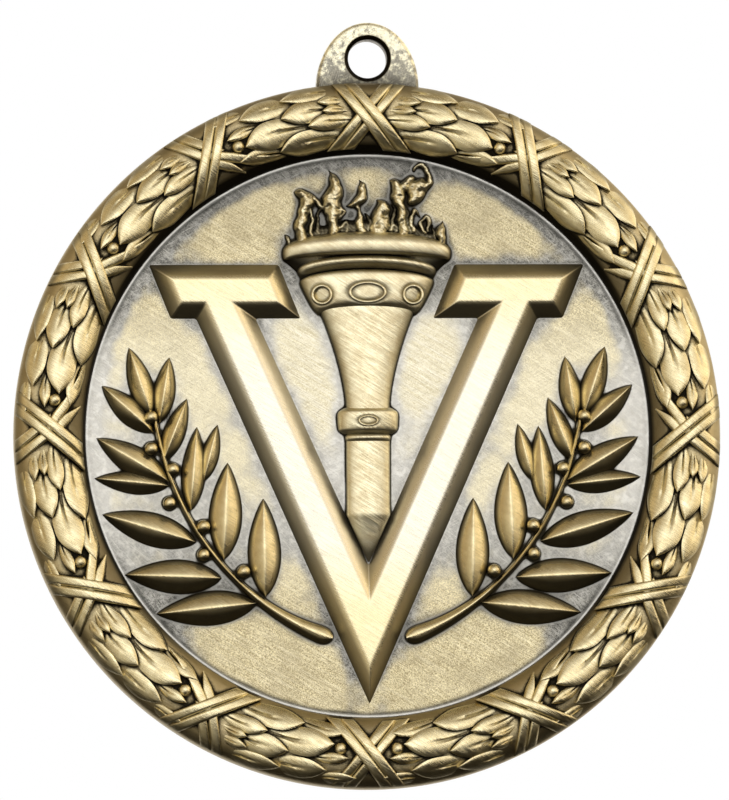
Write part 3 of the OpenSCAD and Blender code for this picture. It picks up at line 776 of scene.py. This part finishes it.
def mark_depths():
    """Marks how far each vertex lies below its close (deep), near (pocket) and wide (zone) surroundings."""
    grid = front_heights()
    close, mid, wide = blurred(grid, 0.22), blurred(grid, 0.6), blurred(grid, 1.6)
    for piece in Piece.made:
        x, h, y = piece.world[:, 0] / MM, -piece.world[:, 1] / MM, piece.world[:, 2] / MM
        r = np.hypot(x, y)
        # the rim's outer side wall lies open, so nothing gathers on it
        kept = 1 - (h < 3.0) * smooth(31.6, 32.1, r) * (piece.node != "suspension_lug")
        set_attribute(piece.mesh, "deep", (sample(close, x, y) - h) * kept)
        set_attribute(piece.mesh, "pocket", (sample(mid, x, y) - h) * kept)
        zone = sample(wide, x, y) - h
        if piece.node == "medal_plate":   # the rim's shade is thin along the bottom, the letter's tip is grey
            zone *= 1 - 0.92 * smooth(20.5, 24.0, r) * (1 - smooth(-23.5, -15.0, y))
            zone += 0.22 * (1 - smooth(1.2, 3.2, np.abs(x))) * (1 - smooth(-22.5, -19.0, y))
        set_attribute(piece.mesh, "zone", zone)
        # each piece's mask: patina and painted shade on most pieces, the letter's opening on the field
        set_attribute(piece.mesh, "piece_mask", piece.piece_mask(x, y, h) if piece.piece_mask else np.zeros(len(x)))


# ---- materials ----

class Graph:
    """Short spelling for building a node material."""

    def __init__(self, tree):
        self.tree = tree
        tree.nodes.clear()

    def node(self, kind, inputs=(), **settings):
        n = self.tree.nodes.new(kind)
        for key, value in settings.items():
            setattr(n, key, value)
        for key, value in dict(inputs).items():
            if isinstance(value, bpy.types.NodeSocket):
                self.tree.links.new(value, n.inputs[key])
            else:
                n.inputs[key].default_value = value
        return n

    def math(self, operation, a, b=0.0, clamp=False):
        return self.node("ShaderNodeMath", {0: a, 1: b}, operation=operation, use_clamp=clamp).outputs[0]

    def plus(self, a, b, clamp=False):
        return self.math("ADD", a, b, clamp)

    def times(self, a, b):
        return self.math("MULTIPLY", a, b)

    def most(self, first, *others):
        for other in others:
            first = self.math("MAXIMUM", first, other)
        return first

    def sway(self, noise, amount):
        """A noise moved to swing around zero."""
        return self.times(self.math("SUBTRACT", noise, 0.5), amount)

    def parts(self, vector):
        return self.node("ShaderNodeSeparateXYZ", {0: vector}).outputs

    def mix(self, share, a, b):
        """The colour a, with b laid over it where share is 1."""
        return self.node("ShaderNodeMix", {0: share, 6: a, 7: b}, data_type="RGBA").outputs[2]

    def blend(self, share, a, b):
        return self.node("ShaderNodeMix", {0: share, 2: a, 3: b}, data_type="FLOAT").outputs[0]

    def ramp(self, x, low, high):
        """0 at low, 1 at high and smooth between."""
        return self.node("ShaderNodeMapRange", {0: x, 1: low, 2: high},
                         interpolation_type="SMOOTHSTEP").outputs[0]

    def noise(self, vector, scale, detail=2.0, rough=0.5):
        return self.node("ShaderNodeTexNoise", {"Vector": vector, "Scale": scale, "Detail": detail,
                                                "Roughness": rough}).outputs["Fac"]

    def attribute(self, name):
        return self.node("ShaderNodeAttribute", attribute_name=name).outputs["Fac"]

    def streaks(self, vector, angle, length, width, low, high, shift=0.0):
        """Thin straight marks of the given length and width (mm) at an angle in the medal's plane."""
        turned = self.node("ShaderNodeMapping", {"Vector": vector, "Location": (shift, shift, shift),
                                                 "Rotation": (0, math.radians(angle), 0)}).outputs[0]
        squeezed = self.node("ShaderNodeMapping", {"Vector": turned,
                                                   "Scale": (1 / length, 0.4, 1 / width)}).outputs[0]
        return self.ramp(self.noise(squeezed, 1.0, 1.0, 0.4), low, high)


def start_material(name):
    material = bpy.data.materials.new(name)
    material.use_nodes = True
    g = Graph(material.node_tree)
    place = g.node("ShaderNodeTexCoord").outputs["Object"]
    mm = g.node("ShaderNodeMapping", {"Vector": place, "Scale": (1000, 1000, 1000)}).outputs[0]
    return material, g, mm


def finish_material(g, colour, rough, height, distance):
    bump = g.node("ShaderNodeBump", {"Strength": 1.0, "Distance": distance * MM, "Height": height}).outputs[0]
    shader = g.node("ShaderNodeBsdfPrincipled", {"Base Color": colour, "Metallic": 1.0, "Roughness": rough,
                                                 "Normal": bump})
    out = g.node("ShaderNodeOutputMaterial")
    g.tree.links.new(shader.outputs[0], out.inputs[0])


# Colours of the thin dark layer in the hollows, of the painted highlight across the middle, and of the
# painted highlight line along the field's edge
PATINA = (0.020, 0.017, 0.011, 1)
HIGHLIGHT_WHITE = (0.80, 0.80, 0.76, 1)
EDGE_HIGHLIGHT = (0.88, 0.88, 0.84, 1)
BRUSH_ANGLE, FIELD_ANGLE = -32, -30  # degrees, of the fine hairlines


def painted_highlight_band(g, mm):
    """A painted highlight: 1 across the middle of the medal, falling to 0 above and below."""
    up = g.parts(mm)[2]
    return g.times(g.ramp(up, 15.0, 5.0), g.ramp(up, -17.0, -8.0))


def cast_metal(name, bright, shade, rough, wear, grain=0.25, brushed=0.0, bump=0.012, under=0.0, painted_highlight_share=0.0):
    """Antique plating: bright and darker tones in patches and hairlines, patina in the hollows, painted shade
    on sides that face down and a painted highlight across the middle.

    wear is how deep the patina begins and is full; the underside share sets the painted shade on sides that
    face down."""
    material, g, mm = start_material(name)
    fine, coarse = g.noise(mm, 9.0, 3.0, 0.6), g.noise(mm, 0.9, 3.0, 0.55)
    hair = g.streaks(mm, BRUSH_ANGLE, 2.4, 0.06, 0.48, 0.62)
    cross = g.streaks(mm, BRUSH_ANGLE + 62, 1.8, 0.05, 0.55, 0.8, 7.0)
    uneven = g.sway(fine, grain)
    deep = g.plus(g.attribute("deep"), g.times(g.attribute("pocket"), 0.35))
    facing_up = g.parts(g.node("ShaderNodeTexCoord").outputs["Normal"])[2]
    # painted shade: darker on sides that face down
    painted_underside_shade = g.ramp(g.plus(facing_up, g.times(uneven, 0.6)), -0.18, -0.55)
    dark = g.most(g.ramp(g.plus(deep, uneven), *wear), g.attribute("piece_mask"), g.times(painted_underside_shade, under))
    tint = g.ramp(g.plus(coarse, g.times(fine, 0.5)), 0.5, 1.0)
    colour = g.mix(g.times(tint, 0.55), bright, shade)
    colour = g.mix(g.times(hair, brushed), colour, shade)
    colour = g.mix(g.times(cross, brushed * 0.6), colour, bright)
    # painted highlight: paler across the middle of the medal
    colour = g.mix(g.times(painted_highlight_band(g, mm), painted_highlight_share), colour, HIGHLIGHT_WHITE)
    colour = g.mix(dark, colour, PATINA)
    roughness = g.plus(g.blend(dark, rough, 0.6), g.sway(fine, 0.16))
    height = g.plus(g.times(fine, 0.6), g.times(hair, 0.4 + brushed))
    finish_material(g, colour, roughness, height, bump)
    return material


def field_gold(g, mm, speck, hair, coarse, top, band, inside):
    """Gold grain of the open field, paler inside the letter's opening, with painted shade towards the top and
    a painted highlight across the middle; hairlines and scores run across it.
    """
    scores = g.streaks(mm, FIELD_ANGLE, 3.0, 0.08, 0.50, 0.66, 17.0)
    gold = g.mix(speck, (0.30, 0.245, 0.135, 1), (0.95, 0.86, 0.56, 1))
    gold = g.mix(g.times(hair, 0.35), gold, (0.97, 0.90, 0.66, 1))
    gold = g.mix(g.times(scores, 0.35), gold, (0.34, 0.27, 0.14, 1))
    # random tone, and painted shade towards the top
    tone = g.plus(g.times(g.ramp(coarse, 0.42, 0.66), 0.3), g.times(top, 0.3))
    gold = g.mix(tone, gold, (0.36, 0.31, 0.20, 1))
    # painted highlight across the middle
    gold = g.mix(g.times(band, 0.55), gold, (0.93, 0.89, 0.70, 1))
    pale = g.mix(speck, (0.66, 0.60, 0.40, 1), (0.97, 0.93, 0.74, 1))
    pale = g.mix(g.times(hair, 0.5), pale, (0.99, 0.97, 0.85, 1))
    pale = g.mix(g.times(scores, 0.4), pale, (0.46, 0.40, 0.25, 1))
    return g.mix(inside, gold, pale)


def field_grey(g, mm, speck, scratched, place, top, band, inside):
    """Silver-grey of the field beside walls and relief, with painted highlights that make it brightest at the
    sides and across the middle, and painted shade towards the top.
    """
    cloudy = g.noise(mm, 1.3, 3.0, 0.6)
    across, upright = g.math("ABSOLUTE", place[0]), g.math("ABSOLUTE", place[2])
    # painted highlights: brighter at the sides and across the middle
    side = g.times(g.ramp(across, 20.5, 24.0), g.ramp(upright, 13.0, 4.0))
    bright = g.plus(g.times(g.ramp(cloudy, 0.45, 0.68), 0.35), g.times(side, 0.3))
    bright = g.plus(bright, g.times(band, 0.45))
    bright = g.plus(bright, g.times(inside, 0.3), True)
    grey = g.mix(speck, (0.040, 0.040, 0.036, 1), (0.36, 0.355, 0.325, 1))
    grey = g.mix(bright, grey, (0.74, 0.735, 0.69, 1))
    grey = g.mix(g.times(scratched, 0.5), grey, (0.85, 0.85, 0.79, 1))
    # painted shade towards the top
    return g.mix(g.times(top, 0.5), grey, (0.06, 0.06, 0.056, 1))


def field_metal(name):
    """The flat field: pale gold grain in the open, silver-grey and scratched beside walls and relief."""
    material, g, mm = start_material(name)
    fine, coarse = g.noise(mm, 11.0, 3.0, 0.7), g.noise(mm, 0.35, 3.0, 0.55)
    scratched = g.most(*(g.streaks(mm, angle, length, 0.05, 0.58, 0.74, shift) for angle, length, shift in
                         ((28, 2.2, 0.0), (-37, 2.4, 11.0), (-52, 2.0, 23.0))))
    hair = g.streaks(mm, FIELD_ANGLE, 3.0, 0.06, 0.48, 0.58, 3.0)
    speck = g.ramp(fine, 0.36, 0.64)
    place = g.parts(mm)
    # top is painted shade towards the top of the field, band a painted highlight across the middle
    top, band, inside = g.ramp(place[2], 14.0, 24.0), painted_highlight_band(g, mm), g.attribute("piece_mask")
    gold = field_gold(g, mm, speck, hair, coarse, top, band, inside)
    grey = field_grey(g, mm, speck, scratched, place, top, band, inside)
    near = g.ramp(g.plus(g.attribute("zone"), g.sway(coarse, 0.5)), 0.17, 0.46)
    colour = g.mix(near, gold, grey)
    # patina at the foot of the relief, lighter inside the letter's opening and across the painted highlight
    foot = g.ramp(g.attribute("pocket"), 0.08, 0.32)
    colour = g.mix(g.times(foot, g.blend(g.most(inside, band), 0.85, 0.12)), colour, (0.04, 0.04, 0.036, 1))
    deep = g.plus(g.attribute("deep"), g.sway(fine, 0.08))
    colour = g.mix(g.times(g.ramp(deep, 0.03, 0.08), 0.15), colour, (0.90, 0.90, 0.85, 1))
    colour = g.mix(g.ramp(deep, 0.12, 0.26), colour, PATINA)
    reach = g.node("ShaderNodeVectorMath", {0: mm}, operation="LENGTH").outputs["Value"]
    # painted highlight: a thin bright line along the field's edge
    rim_line = g.ramp(reach, math.hypot(FIELD_R - 0.20, FIELD_T), math.hypot(FIELD_R - 0.12, FIELD_T))
    colour = g.mix(g.times(rim_line, 0.65), colour, EDGE_HIGHLIGHT)
    roughness = g.plus(0.36, g.sway(fine, 0.25))
    height = g.plus(g.math("SUBTRACT", fine, g.times(scratched, 0.5)), g.times(hair, 0.3))
    finish_material(g, colour, roughness, height, 0.010)
    return material


def lug_metal(name):
    """The lug: pale where it is rubbed, greyer towards its root where shade is painted, grey and scratched in
    every direction around the hole.
    """
    material, g, mm = start_material(name)
    fine, patches = g.noise(mm, 9.0, 3.0, 0.7), g.noise(mm, 1.6, 5.0, 0.75)
    scratched = g.most(*(g.streaks(mm, angle, 1.4, 0.06, 0.58, 0.72, shift)
                         for angle, shift in ((35, 0.0), (-20, 5.0), (75, 9.0))))
    # painted shade: greyer towards the root of the lug
    low = g.ramp(g.parts(mm)[2], 36.5, 33.0)
    wear_and_shade = g.ramp(g.plus(patches, g.times(low, 0.14)), 0.47, 0.66)
    colour = g.mix(wear_and_shade, (0.97, 0.93, 0.70, 1), (0.32, 0.31, 0.265, 1))
    colour = g.mix(g.times(g.ramp(fine, 0.5, 0.75), 0.35), colour, (0.16, 0.15, 0.12, 1))
    colour = g.mix(g.times(scratched, 0.5), colour, (0.95, 0.93, 0.80, 1))
    # painted shade on the wall of the hole and along the root
    colour = g.mix(g.attribute("piece_mask"), colour, PATINA)
    roughness = g.plus(0.32, g.times(wear_and_shade, 0.1))
    finish_material(g, colour, roughness, g.math("SUBTRACT", fine, scratched), 0.008)
    return material


def back_metal(name):
    """The plain back: satin antique gold with fine scratches."""
    material, g, mm = start_material(name)
    fine, coarse = g.noise(mm, 6.0, 3.0, 0.6), g.noise(mm, 0.25, 4.0, 0.6)
    marks = g.most(g.streaks(mm, 35, 4.0, 0.06, 0.62, 0.74), g.streaks(mm, -52, 3.0, 0.06, 0.62, 0.74, 9.0))
    colour = g.mix(g.ramp(coarse, 0.35, 0.7), (0.78, 0.68, 0.44, 1), (0.66, 0.55, 0.33, 1))
    colour = g.mix(g.times(g.ramp(fine, 0.5, 0.8), 0.3), colour, (0.36, 0.29, 0.17, 1))
    colour = g.mix(g.times(marks, 0.45), colour, (0.92, 0.84, 0.60, 1))
    roughness = g.plus(0.36, g.times(coarse, 0.12))
    finish_material(g, colour, roughness, g.plus(fine, marks), 0.01)
    return material


def slot_of(node):
    for part in frame["record"]["subparts"]:
        if part["node"] == node:
            return part["material_slot"]


def make_looks():
    """A material for each of the record's slots."""
    return {
        # the last arguments set the painted shade on sides that face down and, for the letter, the painted
        # highlight across the middle
        "field": field_metal("field_metal"),
        "rim": cast_metal("rim_metal", (0.64, 0.54, 0.32, 1), (0.48, 0.38, 0.20, 1), 0.34, (0.0, 0.32)),
        "lug": lug_metal("lug_metal"),
        "wreath": cast_metal("wreath_metal", (0.95, 0.86, 0.57, 1), (0.60, 0.48, 0.24, 1), 0.27, (0.0, 0.23),
                             grain=0.12, brushed=0.15, under=0.2),
        "letter": cast_metal("letter_metal", (0.84, 0.74, 0.47, 1), (0.76, 0.64, 0.38, 1), 0.26, (0.8, 1.5),
                             brushed=0.15, bump=0.006, under=0.85, painted_highlight_share=0.6),
        "torch": cast_metal("torch_metal", (0.95, 0.89, 0.64, 1), (0.62, 0.50, 0.28, 1), 0.30, (0.08, 0.45),
                            brushed=0.35, under=0.7),
        "branch": cast_metal("branch_metal", (0.82, 0.72, 0.45, 1), (0.60, 0.48, 0.25, 1), 0.24, (0.04, 0.42),
                             grain=0.08, under=0.93)}


def dress():
    """Puts each piece in the frame with its material; faces on the flat back get the back's finish."""
    looks, back = make_looks(), back_metal("back_metal")
    for piece in Piece.made:
        slot = slot_of(piece.node)
        piece.mesh.materials.append(looks[slot])
        if piece.node in ("medal_plate", "rim_ring", "suspension_lug"):
            piece.mesh.materials.append(back)
            normals = np.zeros(len(piece.mesh.polygons) * 3, np.float32)
            piece.mesh.polygons.foreach_get("normal", normals)
            backwards = normals.reshape(-1, 3)[:, 1] > 0.9
            piece.mesh.polygons.foreach_set("material_index", backwards.astype(np.int32))
        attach(piece.obj, "root")
        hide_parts(piece.node)


# ---- studio ----

def make_world():
    """White behind the medal. Reflections see soft panels: in front, at both sides, above and behind."""
    world = bpy.data.worlds.new("studio")
    bpy.context.scene.world = world
    world.use_nodes = True
    g = Graph(world.node_tree)
    way = g.node("ShaderNodeTexCoord").outputs["Generated"]

    def panel(direction, power, colour):
        d = Vector(direction).normalized()
        dot = g.node("ShaderNodeVectorMath", {0: way, 1: tuple(d)}, operation="DOT_PRODUCT").outputs["Value"]
        share = g.math("POWER", g.math("MAXIMUM", dot, 0.0), power)
        return g.node("ShaderNodeMix", {0: share, 6: (0, 0, 0, 1), 7: (*colour, 1)}, data_type="RGBA",
                      clamp_factor=False).outputs[2]

    def sum_of(first, *others):
        for other in others:
            first = g.node("ShaderNodeMix", {0: 1.0, 6: first, 7: other}, data_type="RGBA",
                           blend_type="ADD").outputs[2]
        return first

    light = sum_of(panel((0.0, -1, 0.14), 5, (1.85, 1.81, 1.77)),
                   panel((1, -0.15, 0.30), 3, (1.55, 1.32, 0.98)),
                   panel((-1, -0.20, 0.40), 3, (0.60, 0.47, 0.29)),
                   panel((0, 0.15, 1), 3, (0.18, 0.14, 0.08)),
                   panel((0.1, 1, 0.15), 2, (1.6, 1.5, 1.34)))
    # in front of the medal it is dark below the horizon, apart from a small panel at the lower left
    parts = g.parts(way)
    height = g.plus(parts[2], g.times(g.math("MAXIMUM", parts[1], 0.0), 0.9))
    light = g.mix(g.ramp(height, -0.38, 0.05), (0.014, 0.011, 0.007, 1), light)
    light = sum_of(light, panel((-0.64, -0.64, -0.42), 10, (0.6, 0.54, 0.42)))
    studio = g.node("ShaderNodeBackground", {"Color": light, "Strength": 1.0})
    white = g.node("ShaderNodeBackground", {"Color": (1, 1, 1, 1), "Strength": 1.0})
    seen = g.node("ShaderNodeLightPath").outputs["Is Camera Ray"]
    both = g.node("ShaderNodeMixShader", {0: seen, 1: studio.outputs[0], 2: white.outputs[0]})
    out = g.node("ShaderNodeOutputWorld")
    g.tree.links.new(both.outputs[0], out.inputs[0])


def make_floor():
    mesh = bpy.data.meshes.new("floor")
    s, z = 1.2, -0.092                # half its side, and its height, in metres
    mesh.from_pydata([(-s, -s, z), (s, -s, z), (s, s, z), (-s, s, z)], [], [(0, 1, 2, 3)])
    floor = bpy.data.objects.new("floor", mesh)
    bpy.context.scene.collection.objects.link(floor)
    material, g, mm = start_material("pale_floor")
    tone = g.mix(g.noise(mm, 0.05, 3.0), (0.76, 0.82, 0.97, 1), (0.73, 0.79, 0.94, 1))
    shader = g.node("ShaderNodeBsdfPrincipled", {"Base Color": tone, "Roughness": 0.9})
    out = g.node("ShaderNodeOutputMaterial")
    g.tree.links.new(shader.outputs[0], out.inputs[0])
    mesh.materials.append(material)
    floor.visible_glossy = False


def make_camera():
    """Straight in front, a little below and to the left of the medal's axis."""
    data = bpy.data.cameras.new("camera")
    data.sensor_width = 36
    data.clip_start = 0.01
    camera = bpy.data.objects.new("camera", data)
    bpy.context.scene.collection.objects.link(camera)
    aim = Vector((-0.000295, -FIELD_T * MM, 0.003246))
    distance, up, left = 0.8, math.radians(-4.2), math.radians(-3.2)
    away = Vector((math.sin(left) * math.cos(up), -math.cos(left) * math.cos(up), math.sin(up)))
    camera.location = aim + away * distance
    camera.rotation_euler = away.to_track_quat("Z", "Y").to_euler()
    view_width = 0.07348              # metres across the picture at the medal's face
    data.lens = data.sensor_width * distance / view_width
    bpy.context.scene.camera = camera


def build_medal():
    """Every piece of the medal, then its patina and painted shade, and its materials."""
    make_plate()
    make_rim()
    make_lug()
    for number in range(1, 13):
        make_garland(number)
        make_tie(number)
    make_garland_berries()
    make_letter()
    for make in (make_lip, make_moulding, make_cup, make_shaft, make_collar, make_bead, make_handle,
                 make_oval_rings, make_flames):
        make()
    for side in ("left", "right"):
        make_branch(side)
    for piece in Piece.made:
        piece.build()
    mark_depths()
    dress()


bpy.context.scene.view_settings.view_transform = "Standard"
make_camera()
make_world()
make_floor()
build_medal()
